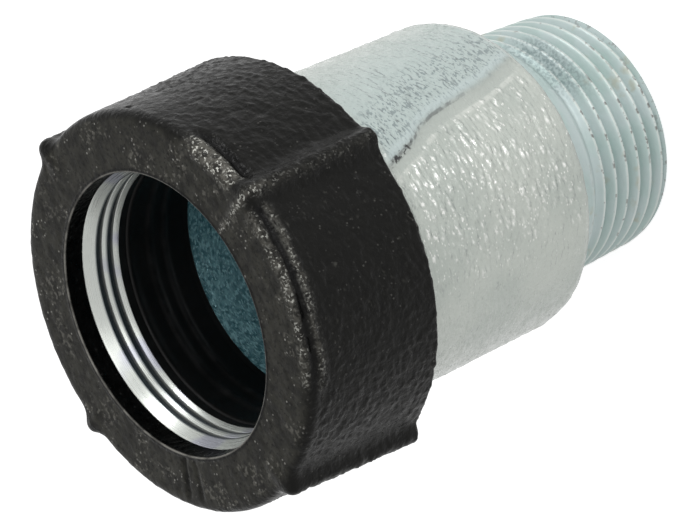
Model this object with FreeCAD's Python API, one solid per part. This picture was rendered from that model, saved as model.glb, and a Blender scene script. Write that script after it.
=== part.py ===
import FreeCAD, Part
import math
import os

# Compression repair coupling for one-inch steel pipe, all sizes in millimetres.
# The axis is Z. The part stands on its threaded end and its pipe mouth looks up.

# Overall heights
TOTAL_HEIGHT = 73.2
SHOULDER_Z = 20.2
BODY_TOP_Z = 61.2
NUT_LENGTH = 20.2

# One-inch taper pipe thread, drawn as rings at its pitch that grow shallow near its upper end
THREAD_GAUGE_DIAMETER = 33.249
THREAD_GAUGE_LENGTH = 10.4
THREAD_TAPER = 1.0 / 32.0
THREAD_LENGTH = 18.4
THREAD_END_CHAMFER = 0.8
THREAD_PITCH = 2.309
THREAD_DEPTH = 1.479
THREAD_CREST_WIDTH = 0.4
THREAD_FIRST_CREST_Z = 1.94
THREAD_GROOVE_COUNT = 6
THREAD_FADE_START_Z = 11.6
THREAD_FADE_END_Z = 16.9

# Body
WATERWAY_RADIUS = 13.0
SOCKET_RADIUS = 17.3
PIPE_STOP_Z = 25.2
BARREL_RADIUS = 21.0
BARREL_EDGE_CHAMFER = 0.4
COLLAR_RADIUS = 22.7
COLLAR_BOTTOM_Z = 50.7
SEAT_TOP_RADIUS = 20.15
SEAT_FLOOR_RADIUS = 19.25
SEAT_FLOOR_Z = 53.6

# Rings stacked inside the nut
SEAL_TOP_Z = 63.9
SEAL_INNER_RADIUS = 16.9
SEAL_SEAT_GAP = 0.05
PRESSURE_RING_THICKNESS = 1.15
PRESSURE_RING_INNER_RADIUS = 17.15
PRESSURE_RING_OUTER_RADIUS = 20.2
CLAMP_HEIGHT = 5.1
CLAMP_MOUTH_RADIUS = 17.7
CLAMP_LEAD_IN_RADIUS = 17.2
CLAMP_LEAD_IN = 1.7
CLAMP_TOOTH_RADIUS = 16.95
CLAMP_TOOTH_PITCH = 1.65
CLAMP_TOOTH_WIDTH = 0.5
CLAMP_TOOTH_RAMP = 0.2
CLAMP_GROOVE_RADIUS = 17.7
CLAMP_GROOVE_WIDTH = 0.55
CLAMP_GROOVE_COUNT = 2
CLAMP_FIRST_GROOVE = 2.0
CLAMP_TOP_OUTER_RADIUS = 19.6
CLAMP_BOTTOM_OUTER_RADIUS = 21.0
CLAMP_SPLIT_WIDTH = 2.5
CLAMP_SPLIT_ANGLE = -120.0

# Union nut
MOUTH_RADIUS = 17.75
MOUTH_LIP = 2.95
CONE_GAP = 0.06
CONE_BOTTOM_Z = 64.9
NUT_THREAD_GAP = 0.06
NUT_FRONT_RADIUS = 25.1
NUT_REAR_RADIUS = 26.3
NUT_FRONT_ROUND = 1.3
NUT_FRONT_ROUND_STEPS = 3
TRIM_OVERRUN = 1.0
MOUTH_EDGE_CHAMFER = 0.25

# Ribs of the union nut
RIB_COUNT = 4
RIB_FIRST_ANGLE = -70.0
RIB_HEIGHT = 1.55
RIB_TIP_RADIUS = 1.6
RIB_ROOT_RADIUS = 2.5
RIB_SINK = 0.3
RIB_CREST_TRIM = 0.07
RIB_BURIED_DEPTH = 2.4

# Values that follow from the ones above
NUT_BOTTOM_Z = TOTAL_HEIGHT - NUT_LENGTH
THREAD_END_RADIUS = THREAD_GAUGE_DIAMETER / 2 - THREAD_GAUGE_LENGTH * THREAD_TAPER
THREAD_RUNOUT_RADIUS = THREAD_END_RADIUS + THREAD_LENGTH * THREAD_TAPER
THREAD_GROOVE_HALF_WIDTH = (THREAD_PITCH - THREAD_CREST_WIDTH) / 2
CLAMP_BOTTOM_Z = SEAL_TOP_Z + PRESSURE_RING_THICKNESS
CLAMP_TOP_Z = CLAMP_BOTTOM_Z + CLAMP_HEIGHT
NUT_INNER_SHOULDER_Z = TOTAL_HEIGHT - MOUTH_LIP
NUT_THREAD_RADIUS = COLLAR_RADIUS + NUT_THREAD_GAP
NUT_SLOPE = (NUT_REAR_RADIUS - NUT_FRONT_RADIUS) / NUT_LENGTH


def point(radius, height):
    return FreeCAD.Vector(radius, 0, height)


def revolve(outline):
    """Solid of revolution about Z from (radius, height) corners."""
    corners = [point(radius, height) for radius, height in outline]
    wire = Part.makePolygon(corners + [corners[0]])
    return Part.Face(wire).revolve(FreeCAD.Vector(0, 0, 0), FreeCAD.Vector(0, 0, 1), 360)


def crest_radius(height):
    """Radius of the pipe thread's crests, which lie on its taper."""
    return THREAD_END_RADIUS + height * THREAD_TAPER


def thread_corners():
    """Mouth and root corners of the pipe thread's grooves, from the end upwards."""
    corners = []
    for index in range(THREAD_GROOVE_COUNT):
        root_z = THREAD_FIRST_CREST_Z + (index + 0.5) * THREAD_PITCH
        fade = (THREAD_FADE_END_Z - root_z) / (THREAD_FADE_END_Z - THREAD_FADE_START_Z)
        share = min(1.0, fade)
        low_z = root_z - share * THREAD_GROOVE_HALF_WIDTH
        high_z = root_z + share * THREAD_GROOVE_HALF_WIDTH
        corners.append((crest_radius(low_z), low_z))
        corners.append((crest_radius(root_z) - share * THREAD_DEPTH, root_z))
        corners.append((crest_radius(high_z), high_z))
    return corners


def make_body():
    """Cast body: threaded stub, barrel with pipe socket, and the collar that takes the nut."""
    threaded_end = [
        (WATERWAY_RADIUS, 0),
        (THREAD_END_RADIUS - THREAD_END_CHAMFER, 0),
        (THREAD_END_RADIUS, THREAD_END_CHAMFER),
    ]
    outside = [
        (THREAD_RUNOUT_RADIUS, THREAD_LENGTH),
        (THREAD_RUNOUT_RADIUS, SHOULDER_Z),
        (BARREL_RADIUS - BARREL_EDGE_CHAMFER, SHOULDER_Z),
        (BARREL_RADIUS, SHOULDER_Z + BARREL_EDGE_CHAMFER),
        (BARREL_RADIUS, COLLAR_BOTTOM_Z - (COLLAR_RADIUS - BARREL_RADIUS)),
        (COLLAR_RADIUS, COLLAR_BOTTOM_Z),
        (COLLAR_RADIUS, BODY_TOP_Z),
    ]
    inside = [
        (SEAT_TOP_RADIUS, BODY_TOP_Z),
        (SEAT_FLOOR_RADIUS, SEAT_FLOOR_Z),
        (SOCKET_RADIUS, SEAT_FLOOR_Z),
        (SOCKET_RADIUS, PIPE_STOP_Z),
        (WATERWAY_RADIUS, PIPE_STOP_Z),
    ]
    return revolve(threaded_end + thread_corners() + outside + inside)


def make_sealing_ring():
    """Rubber ring seated in the body, standing proud of it towards the mouth."""
    protruding_radius = SEAT_TOP_RADIUS - SEAL_SEAT_GAP
    return revolve([
        (SEAT_FLOOR_RADIUS - SEAL_SEAT_GAP, SEAT_FLOOR_Z),
        (protruding_radius, BODY_TOP_Z),
        (protruding_radius, SEAL_TOP_Z),
        (SEAL_INNER_RADIUS, SEAL_TOP_Z),
        (SEAL_INNER_RADIUS, SEAT_FLOOR_Z),
    ])


def make_pressure_ring():
    """Flat steel ring between the rubber and the clamping ring."""
    top = SEAL_TOP_Z + PRESSURE_RING_THICKNESS
    return revolve([
        (PRESSURE_RING_INNER_RADIUS, SEAL_TOP_Z),
        (PRESSURE_RING_OUTER_RADIUS, SEAL_TOP_Z),
        (PRESSURE_RING_OUTER_RADIUS, top),
        (PRESSURE_RING_INNER_RADIUS, top),
    ])


def make_clamping_ring():
    """Split steel ring: conical outside, toothed inside."""
    outside = [
        (CLAMP_BOTTOM_OUTER_RADIUS, CLAMP_BOTTOM_Z),
        (CLAMP_TOP_OUTER_RADIUS, CLAMP_TOP_Z),
    ]
    inside = [
        (CLAMP_MOUTH_RADIUS, CLAMP_TOP_Z),
        (CLAMP_LEAD_IN_RADIUS, CLAMP_TOP_Z - CLAMP_LEAD_IN),
    ]
    # Each groove has a tooth below it, and the last tooth runs to the bottom face
    for index in range(CLAMP_GROOVE_COUNT):
        groove_top = CLAMP_TOP_Z - CLAMP_FIRST_GROOVE - index * CLAMP_TOOTH_PITCH
        groove_bottom = groove_top - CLAMP_GROOVE_WIDTH
        tooth_top = groove_bottom - CLAMP_TOOTH_RAMP
        last = index == CLAMP_GROOVE_COUNT - 1
        tooth_bottom = CLAMP_BOTTOM_Z if last else tooth_top - CLAMP_TOOTH_WIDTH
        inside.append((CLAMP_GROOVE_RADIUS, groove_top))
        inside.append((CLAMP_GROOVE_RADIUS, groove_bottom))
        inside.append((CLAMP_TOOTH_RADIUS, tooth_top))
        inside.append((CLAMP_TOOTH_RADIUS, tooth_bottom))
    ring = revolve(outside + inside)
    split = Part.makeBox(
        2 * CLAMP_BOTTOM_OUTER_RADIUS,
        CLAMP_SPLIT_WIDTH,
        2 * CLAMP_HEIGHT,
        FreeCAD.Vector(0, -CLAMP_SPLIT_WIDTH / 2, CLAMP_BOTTOM_Z - CLAMP_HEIGHT / 2),
    )
    split.rotate(FreeCAD.Vector(0, 0, 0), FreeCAD.Vector(0, 0, 1), CLAMP_SPLIT_ANGLE)
    return ring.cut(split)


def polar(radius, angle, height):
    return FreeCAD.Vector(radius * math.cos(angle), radius * math.sin(angle), height)


def rib_section():
    """Closed outline of one rib across its length, sunk into the shell at its rear end."""
    height = NUT_BOTTOM_Z - TRIM_OVERRUN
    base_radius = NUT_REAR_RADIUS - RIB_SINK
    crest_radius = NUT_REAR_RADIUS + RIB_HEIGHT + RIB_CREST_TRIM
    tip_centre = crest_radius - RIB_TIP_RADIUS
    root_centre = base_radius + RIB_ROOT_RADIUS
    reach = RIB_TIP_RADIUS + RIB_ROOT_RADIUS
    # Angle from the rib to the centre of its root arc, by the law of cosines
    cosine = (tip_centre ** 2 + root_centre ** 2 - reach ** 2) / (2 * tip_centre * root_centre)
    root_angle = math.acos(cosine)
    tip = polar(tip_centre, 0, height)
    low_root = polar(root_centre, -root_angle, height)
    high_root = polar(root_centre, root_angle, height)
    low_foot = polar(base_radius, -root_angle, height)
    high_foot = polar(base_radius, root_angle, height)
    low_join = tip + (low_root - tip) * (RIB_TIP_RADIUS / reach)
    high_join = tip + (high_root - tip) * (RIB_TIP_RADIUS / reach)
    crest = polar(crest_radius, 0, height)
    arcs = [
        Part.Arc(low_foot, root_arc_middle(low_root, low_foot, low_join), low_join),
        Part.Arc(low_join, crest, high_join),
        Part.Arc(high_join, root_arc_middle(high_root, high_join, high_foot), high_foot),
    ]
    buried = [
        high_foot,
        polar(base_radius - RIB_BURIED_DEPTH, root_angle, height),
        polar(base_radius - RIB_BURIED_DEPTH, -root_angle, height),
        low_foot,
    ]
    return Part.Wire([arc.toShape() for arc in arcs] + Part.makePolygon(buried).Edges)


def root_arc_middle(centre, first, last):
    """Middle of the root arc that runs from first to last about centre."""
    towards = (first + last) * 0.5 - centre
    towards.normalize()
    return centre + towards * RIB_ROOT_RADIUS


def tapered_drum(rise):
    """Solid drum of the nut's length that stands proud of its plain wall by rise, with a rounded front."""
    outline = [(0, NUT_BOTTOM_Z), (NUT_REAR_RADIUS + rise, NUT_BOTTOM_Z)]
    # The front round is drawn as short bevels between points of its arc
    arc_radius = NUT_FRONT_RADIUS + rise + NUT_FRONT_ROUND * NUT_SLOPE - NUT_FRONT_ROUND
    arc_height = TOTAL_HEIGHT - NUT_FRONT_ROUND
    for step in range(NUT_FRONT_ROUND_STEPS + 1):
        turn = math.pi / 2 * step / NUT_FRONT_ROUND_STEPS
        radius = arc_radius + NUT_FRONT_ROUND * math.cos(turn)
        outline.append((radius, arc_height + NUT_FRONT_ROUND * math.sin(turn)))
    return revolve(outline + [(0, TOTAL_HEIGHT)])


def make_ribs():
    """Ribs laid along the nut's taper, with their ends and crests trimmed to a drum of their own."""
    rib = Part.Face(rib_section()).extrude(FreeCAD.Vector(0, 0, NUT_LENGTH + 2 * TRIM_OVERRUN))
    lean = -math.degrees(math.atan(NUT_SLOPE))
    rib.rotate(point(NUT_REAR_RADIUS, NUT_BOTTOM_Z), FreeCAD.Vector(0, 1, 0), lean)
    rib = rib.common(tapered_drum(RIB_HEIGHT))
    ribs = []
    for index in range(RIB_COUNT):
        copy = rib.copy()
        angle = RIB_FIRST_ANGLE + index * 360.0 / RIB_COUNT
        copy.rotate(FreeCAD.Vector(0, 0, 0), FreeCAD.Vector(0, 0, 1), angle)
        ribs.append(copy)
    return ribs


def make_union_nut():
    """Cast nut: ribbed tapering outside, mouth lip, clamping cone and thread bore."""
    outside = tapered_drum(0).fuse(make_ribs())
    hollow = revolve([
        (0, NUT_BOTTOM_Z - TRIM_OVERRUN),
        (NUT_THREAD_RADIUS, NUT_BOTTOM_Z - TRIM_OVERRUN),
        (NUT_THREAD_RADIUS, CONE_BOTTOM_Z),
        (CLAMP_BOTTOM_OUTER_RADIUS + CONE_GAP, CONE_BOTTOM_Z),
        (CLAMP_TOP_OUTER_RADIUS + CONE_GAP, NUT_INNER_SHOULDER_Z),
        (MOUTH_RADIUS, NUT_INNER_SHOULDER_Z),
        (MOUTH_RADIUS, TOTAL_HEIGHT - MOUTH_EDGE_CHAMFER),
        (MOUTH_RADIUS + MOUTH_EDGE_CHAMFER + TRIM_OVERRUN, TOTAL_HEIGHT + TRIM_OVERRUN),
        (0, TOTAL_HEIGHT + TRIM_OVERRUN),
    ])
    return outside.cut(hollow).removeSplitter()


PIECES = {
    "body": make_body,
    "sealing_ring": make_sealing_ring,
    "pressure_ring": make_pressure_ring,
    "clamping_ring": make_clamping_ring,
    "union_nut": make_union_nut,
}


def main():
    os.makedirs("parts", exist_ok=True)
    for name, make in PIECES.items():
        shape = make()
        if not shape.isValid() or len(shape.Solids) != 1:
            raise RuntimeError(name + " is not one valid solid")
        shape.Solids[0].exportStep("parts/" + name + ".step")
        print(name, "volume", round(shape.Volume, 1))


main()
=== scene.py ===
import math

import bpy
import numpy as np
from mathutils import Matrix, Vector


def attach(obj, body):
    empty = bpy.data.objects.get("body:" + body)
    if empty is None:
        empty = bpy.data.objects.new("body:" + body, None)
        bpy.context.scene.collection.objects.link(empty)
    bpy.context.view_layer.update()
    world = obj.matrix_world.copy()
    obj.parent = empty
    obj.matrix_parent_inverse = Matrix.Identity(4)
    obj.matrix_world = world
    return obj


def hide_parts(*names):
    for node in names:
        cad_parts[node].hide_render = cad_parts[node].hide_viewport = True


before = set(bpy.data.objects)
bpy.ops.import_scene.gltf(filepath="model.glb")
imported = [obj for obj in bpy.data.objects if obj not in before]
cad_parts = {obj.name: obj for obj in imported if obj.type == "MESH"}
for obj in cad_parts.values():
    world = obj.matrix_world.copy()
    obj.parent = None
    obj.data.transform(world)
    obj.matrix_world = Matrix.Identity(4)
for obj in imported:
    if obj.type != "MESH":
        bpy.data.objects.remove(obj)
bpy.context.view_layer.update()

# Looks of the compression repair coupling. Lengths are in millimetres until a mesh is made.
# The axis is Z. An angle counts from +X towards +Y, and the photograph looks from the -Y side.
# A distance counts down from the mouth, and degrees round count from the -Y side towards -X.
# Two limits say where a change starts and where it is complete. A span has four: where something
# starts, is full, begins to fade and has ended.

MM = 0.001
FULL_TURN = 2 * math.pi
FRONT_ANGLE = -math.pi / 2

# Main sizes, as in the solids
TOTAL_HEIGHT = 73.2
SHOULDER_Z = 20.2
BARREL_RADIUS = 21.0
BARREL_TOP_Z = 49.0
COLLAR_RADIUS = 22.7
COLLAR_BOTTOM_Z = BARREL_TOP_Z + COLLAR_RADIUS - BARREL_RADIUS
BODY_TOP_Z = 61.2
SEAT_TOP_RADIUS = 20.15
SEAT_FLOOR_RADIUS = 19.25
SEAT_FLOOR_Z = 53.6
SOCKET_RADIUS = 17.3
PIPE_STOP_Z = 25.2
WATERWAY_RADIUS = 13.0
NUT_LENGTH = 20.2
NUT_BOTTOM_Z = TOTAL_HEIGHT - NUT_LENGTH
NUT_REAR_RADIUS = 26.3
NUT_FRONT_RADIUS = 25.1
MOUTH_RADIUS = 17.75
MOUTH_LIP = 2.95
NUT_SHOULDER_Z = TOTAL_HEIGHT - MOUTH_LIP
CONE_BOTTOM_Z = 64.9
CONE_BOTTOM_RADIUS = 21.06
CONE_TOP_RADIUS = 19.66

# Both threads have one pitch. Crest and root are shares of the way from crest to root.
THREAD_PITCH = 2.309
FIRST_CREST_Z = 1.94
THREAD_CREST = 0.13
THREAD_ROOT = 0.1

# Taper pipe thread
THREAD_GAUGE_DIAMETER = 33.249
THREAD_GAUGE_LENGTH = 10.4
THREAD_TAPER = 1 / 32
PIPE_THREAD_DEPTH = 1.479
PIPE_THREAD_TOP_Z = 18.4
PIPE_THREAD_END_RADIUS = THREAD_GAUGE_DIAMETER / 2 - THREAD_GAUGE_LENGTH * THREAD_TAPER
PIPE_THREAD_TOP_RADIUS = PIPE_THREAD_END_RADIUS + PIPE_THREAD_TOP_Z * THREAD_TAPER
PIPE_THREAD_FADE_Z = (11.6, 16.9)
END_CHAMFER = 0.8
THREAD_BLUR = (-0.09, -0.045, 0, 0.045, 0.09)

# Thread between the collar and the nut
COLLAR_THREAD_START_Z = 53.4
COLLAR_THREAD_FADE = 1.2
NUT_THREAD_DEPTH = 1.05
NUT_THREAD_CLEARANCE = 0.12
NUT_THREAD_FADE_Z = (61.8, 61.0)


# Noise

NOISE_CELLS = 40
PIMPLE_PLACES = (0.15, 0.85)
PIMPLE_STRENGTHS = (0.1, 1.0)
PIMPLE_REACH = 0.75
CELL_BEND = 0.45
CELL_BEND_SIZE = 3.1


def smooth_step(low, high, value):
    t = np.clip((value - low) / (high - low), 0, 1)
    return t * t * (3 - 2 * t)


def window(value, span):
    """1 between the inner limits of a span, fading to 0 at the outer ones."""
    first, full, fading, last = span
    return smooth_step(first, full, value) * (1 - smooth_step(fading, last, value))


def hump(value, middle, half_width):
    """Bell of height 1 about the middle."""
    return np.exp(-((value - middle) / half_width) ** 2)


def lattice_noise(points, size, seed):
    """Smooth noise from -1 to 1 whose lumps have the given size, one number or one per axis."""
    table = np.random.default_rng(seed).uniform(-1, 1, (NOISE_CELLS,) * 3)
    scaled = points / np.array(size)
    cell = np.floor(scaled).astype(int)
    part = scaled - cell
    part = part * part * (3 - 2 * part)
    total = np.zeros(points.shape[:-1])
    for corner in np.ndindex(2, 2, 2):
        index = (cell + corner) % NOISE_CELLS
        share = np.prod(np.where(np.array(corner) == 1, part, 1 - part), axis=-1)
        total += share * table[index[..., 0], index[..., 1], index[..., 2]]
    return total


def pimples(cells, seed):
    """Bumps from 0 to 1, one in each cell of a plane measured in cells, with varied heights."""
    generator = np.random.default_rng(seed)
    places = generator.uniform(*PIMPLE_PLACES, (NOISE_CELLS, NOISE_CELLS, 2))
    strengths = generator.uniform(*PIMPLE_STRENGTHS, (NOISE_CELLS, NOISE_CELLS))
    cell = np.floor(cells).astype(int)
    highest = np.zeros(cells.shape[:-1])
    for step in np.ndindex(3, 3):
        neighbour = cell + np.array(step) - 1
        index = neighbour % NOISE_CELLS
        place = neighbour + places[index[..., 0], index[..., 1]]
        away = np.linalg.norm(cells - place, axis=-1)
        bump = strengths[index[..., 0], index[..., 1]] * (1 - smooth_step(0, PIMPLE_REACH, away))
        highest = np.maximum(highest, bump)
    return highest


def wrapped_cells(points, height, angles, cells_round, cell_height):
    """Cells wrapped round the axis and slightly bent. Their number round is a multiple of NOISE_CELLS."""
    bend = CELL_BEND * lattice_noise(points, CELL_BEND_SIZE, seed=31)
    across = angles / FULL_TURN * cells_round + bend
    return np.stack([across, height / cell_height + bend], axis=-1)


# Meshes turned about the axis

SHARP_DEGREES = 60


def direction(start, end):
    return (end - start) / np.linalg.norm(end - start)


def rounded_corner(place, towards_before, towards_after, reach, steps):
    """Points of a corner's rounding, or the corner alone when it has none."""
    start = place + towards_before * reach
    end = place + towards_after * reach
    shares = [step / steps for step in range(steps + 1)] if steps else [1.0]
    return [(1 - t) ** 2 * start + 2 * t * (1 - t) * place + t * t * end for t in shares]


def turned_rows(corners, arc_steps=3):
    """Rows of a closed profile: radius and height, outward direction and region of each.

    A corner is (radius, height, reach of its rounding, row spacing after it, region after it).
    The profile climbs the outside, crosses the top inwards and comes down the inside.
    """
    places = [np.array(corner[:2], dtype=float) for corner in corners]
    rows = []
    regions = []
    for index, corner in enumerate(corners):
        reach, spacing, region = corner[2:]
        following = (index + 1) % len(corners)
        place = places[index]
        towards_before = direction(place, places[index - 1])
        towards_after = direction(place, places[following])
        steps = arc_steps if reach > 0 else 0
        rows += rounded_corner(place, towards_before, towards_after, reach, steps)
        run = np.linalg.norm(places[following] - place) - reach - corners[following][2]
        count = max(1, round(run / spacing))
        rows += [place + towards_after * (reach + run * step / count) for step in range(1, count)]
        regions += [region] * (len(rows) - len(regions))
    rows = np.array(rows)
    tangent = np.roll(rows, -1, axis=0) - np.roll(rows, 1, axis=0)
    tangent /= np.linalg.norm(tangent, axis=1, keepdims=True)
    outward = np.stack([tangent[:, 1], -tangent[:, 0]], axis=1)
    return rows, outward, np.array(regions)


def turned_grid(rows, column_count):
    """Radius, height and angle of every point of the rows once they are turned."""
    angles = np.arange(column_count) / column_count * FULL_TURN
    radius = rows[:, 0:1] + 0 * angles
    height = rows[:, 1:2] + 0 * angles
    return radius, height, angles + 0 * height


def cylinder_points(radius, height, angles):
    """Points from radius, height and angle, which may be arrays of rows by columns."""
    x = radius * np.cos(angles)
    y = radius * np.sin(angles)
    return np.stack([x, y, height + 0 * x], axis=-1)


def add_object(name, data):
    """New object in the scene that shows a mesh, a lamp or a camera."""
    made = bpy.data.objects.new(name, data)
    bpy.context.scene.collection.objects.link(made)
    return made


def grid_faces(row_count, column_count, closed):
    """Quads between rows that close on themselves, with two end faces where columns don't."""
    row = np.arange(row_count)[:, None]
    column = np.arange(column_count if closed else column_count - 1)[None, :]
    next_row = (row + 1) % row_count
    next_column = (column + 1) % column_count
    faces = np.stack([
        row * column_count + column,
        row * column_count + next_column,
        next_row * column_count + next_column,
        next_row * column_count + column,
    ], axis=-1).reshape(-1, 4).tolist()
    if not closed:
        first = np.arange(row_count) * column_count
        last = first + column_count - 1
        faces.append(first.tolist())
        faces.append(last[::-1].tolist())
    return faces


def build_mesh(name, points, masks, closed=True):
    """Object from a grid of points in millimetres, with a named value on each point per mask."""
    grid_shape = points.shape[:2]
    mesh = bpy.data.meshes.new(name)
    mesh.from_pydata((points.reshape(-1, 3) * MM).tolist(), [], grid_faces(*grid_shape, closed))
    for mask_name, values in masks.items():
        layer = mesh.attributes.new(mask_name, "FLOAT", "POINT")
        full = np.broadcast_to(values, grid_shape).astype(np.float32)
        layer.data.foreach_set("value", full.reshape(-1))
    mesh.update()
    mesh.shade_smooth()
    mesh.set_sharp_from_angle(angle=math.radians(SHARP_DEGREES))
    return add_object(name, mesh)


def turn_difference(angle, reference):
    """Signed turn from the reference angle, from -pi to pi."""
    return (angle - reference + math.pi) % FULL_TURN - math.pi


def degrees_round(angles):
    """Degrees round from the side that the photograph shows, growing against the angle."""
    return -np.degrees(turn_difference(angles, FRONT_ANGLE))


def thread_distance(height, angles):
    """How far along a right-hand thread, from 0 on its crest to 1 in its root."""
    turns = (height - FIRST_CREST_Z) / THREAD_PITCH - turn_difference(angles, FRONT_ANGLE) / FULL_TURN
    return 1 - 2 * np.abs(turns % 1.0 - 0.5)


def thread_groove(height, angles):
    """Depth from 0 at the crest to 1 at the root, with slightly rounded flanks."""
    past_crest = thread_distance(height, angles) - THREAD_CREST
    flank = np.clip(past_crest / (1 - THREAD_CREST - THREAD_ROOT), 0, 1)
    return 0.75 * flank + 0.25 * (0.5 - 0.5 * np.cos(math.pi * flank))


# Body casting

BODY_COLUMNS = 256
# Height above the shoulder over which the cast skin grows to its full depth
SHOULDER_CALM = 1.2

# The raised seam on the barrel: distance below the mouth against degrees round
SEAM_DISTANCE = (24, 27, 30, 32, 35, 40, 45, 50, 52, 54)
SEAM_DEGREES = (-14, -17, -19.5, -23, -25.5, -27.5, -29.5, -33, -35, -40)
SEAM_SPAN = (23.5, 26.0, 51.0, 52.8)
SEAM_LINE_END = (36, 46)
NEAR_NUT_SPAN = (24, 26, 28.5, 31)
SEAM_STEP = 0.36
CROWN_HEIGHT = 0.12
FOOT_HEIGHT = 0.1

# Strips along the seam: arc length below it
BAND_WIDTH = 1.9
LIP_WIDTH = 1.2
FAR_BELOW = 9.0
ABOVE_SPAN = (-26, -5, -0.3, 0.3)
WRINKLE_SPAN = (-24, -6, -0.3, 0.3)
LIP_SPAN = (-LIP_WIDTH - 0.6, -LIP_WIDTH + 0.4, -0.5, 0.1)
BAND_SPAN = (-0.3, 0.3, BAND_WIDTH - 0.4, BAND_WIDTH + 0.5)
STEP_SPAN = (-0.25, 0.25, BAND_WIDTH, FAR_BELOW)
CROWN_BELOW = -0.9
CROWN_HALF_WIDTH = 0.7
FOOT_BELOW = BAND_WIDTH + 0.4
FOOT_HALF_WIDTH = 0.4

# Ripples of the cast skin, drawn out round the barrel: how many go round, and their length along it
RIPPLES = (80, 0.8)
FINE_RIPPLES = (120, 0.48)
INNER_RIPPLES = (40, 3.0)
RIPPLE_HEIGHT = 0.2
FINE_RIPPLE_HEIGHT = 0.22
GRAIN_SIZE = 1.1
GRAIN_HEIGHT = 0.03
WAVE_SIZE = 7.5
WAVE_HEIGHT = 0.08
SKIN_SINK = 0.12
INNER_RIPPLE_HEIGHT = 0.1
INNER_WAVE_SIZE = 5.0
INNER_WAVE_HEIGHT = 0.08
INNER_SINK = 0.06

# Where the skin has painted glints and rougher ripples, in degrees round; slopes for painted light and shade
GLINT_SPAN = (-42, -20, 6, 54)
BACK_GLINTS = (85, 115)
LIT_SLOPE = (0.2, 0.5)
SHADED_SLOPE = (0.05, 0.35)

# Wear of the pipe thread and a patch of painted shade on it: degrees round, and height for the shade patch
CHIPPED_SPAN = (-38, -5, 18, 34)
SHADE_PATCH_ROUND = (-64, -48, -26, -8)
SHADE_PATCH_Z = (7.5, 10.5, 14.5, 17.0)
CHIP_SIZE = 0.7
CHIP_LIMITS = (0.4, 0.8)
CHIP_DEPTH = 0.05
# How deep the thread is, from 0 to 1, where its crests get a painted highlight, chips and specks
CREST_FADE = (0.05, 0.4)


def body_corners():
    """Profile of the casting, from the inner edge of the threaded end."""
    return [
        (WATERWAY_RADIUS, 0, 0.15, 0.65, "rim"),
        (PIPE_THREAD_END_RADIUS - END_CHAMFER, 0, 0.2, 0.2, "rim"),
        (PIPE_THREAD_END_RADIUS, END_CHAMFER, 0, 0.16, "thread"),
        (PIPE_THREAD_TOP_RADIUS, PIPE_THREAD_TOP_Z, 0, 0.35, "land"),
        (PIPE_THREAD_TOP_RADIUS, SHOULDER_Z, 0.25, 0.5, "shoulder"),
        (BARREL_RADIUS, SHOULDER_Z, 1.7, 0.2, "barrel"),
        (BARREL_RADIUS, BARREL_TOP_Z, 0.5, 0.5, "collar"),
        (COLLAR_RADIUS, COLLAR_BOTTOM_Z, 0.4, 0.5, "collar"),
        (COLLAR_RADIUS, COLLAR_THREAD_START_Z, 0, 0.5, "collar_thread"),
        (COLLAR_RADIUS, BODY_TOP_Z, 0, 0.9, "top"),
        (SEAT_TOP_RADIUS, BODY_TOP_Z, 0, 2.0, "seat"),
        (SEAT_FLOOR_RADIUS, SEAT_FLOOR_Z, 0, 1.0, "seat"),
        (SOCKET_RADIUS, SEAT_FLOOR_Z, 0.2, 1.1, "socket"),
        (SOCKET_RADIUS, PIPE_STOP_Z, 0.4, 0.9, "socket"),
        (WATERWAY_RADIUS, PIPE_STOP_Z, 0.5, 3.0, "waterway"),
    ]


def seam_offset(distance, around):
    """Arc length below the seam, and how much of the seam there is."""
    seam = np.interp(distance, SEAM_DISTANCE, SEAM_DEGREES)
    below = np.radians(around - seam) * BARREL_RADIUS
    return below, window(distance, SEAM_SPAN)


def seam_relief(below, share):
    """Step down across the seam, with a crown just above it and a foot below its band."""
    step = -SEAM_STEP * window(below, STEP_SPAN)
    crown = CROWN_HEIGHT * hump(below, CROWN_BELOW, CROWN_HALF_WIDTH)
    foot = FOOT_HEIGHT * hump(below, FOOT_BELOW, FOOT_HALF_WIDTH)
    return (step + crown + foot) * share


def barrel_skin(points, height, angles, rough, band):
    """Ripples where the skin is rough, fine grain and soft waves."""
    skin = RIPPLE_HEIGHT * pimples(wrapped_cells(points, height, angles, *RIPPLES), seed=3)
    skin += FINE_RIPPLE_HEIGHT * pimples(wrapped_cells(points, height, angles, *FINE_RIPPLES), seed=4)
    skin = skin * rough + GRAIN_HEIGHT * lattice_noise(points, GRAIN_SIZE, seed=5)
    waves = WAVE_HEIGHT * lattice_noise(points, WAVE_SIZE, seed=6) * (1 - 0.6 * band)
    return skin + waves - SKIN_SINK


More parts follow.
